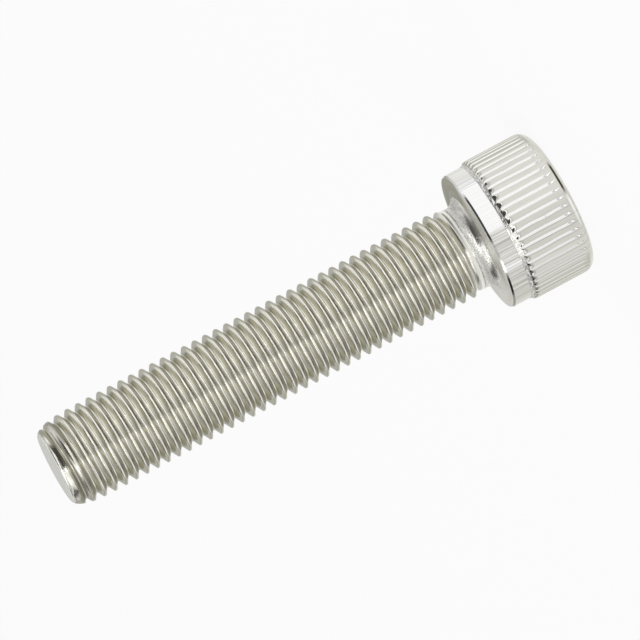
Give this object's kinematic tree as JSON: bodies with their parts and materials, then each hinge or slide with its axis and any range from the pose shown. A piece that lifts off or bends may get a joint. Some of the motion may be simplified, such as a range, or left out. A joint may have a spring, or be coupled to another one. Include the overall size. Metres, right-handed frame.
{
  "type": "socket head cap screw",
  "caption": "Fully threaded fine-pitch cap screw with a knurled cylindrical head and a hexagon socket, standing on its head.",
  "frame": {"origin": "centre of the bearing face under the head", "axes": "+Z along the screw's axis from the head to the tip; +X towards a corner of the hexagon socket"},
  "size_m": [0.016, 0.016, 0.0598],
  "materials": {
    "screw_metal": "bright plated steel, slightly warm, polished on the head and satin in the thread"
  },
  "bodies": {
    "root": {"cap_screw": "screw_metal"}
  },
  "joints": []
}
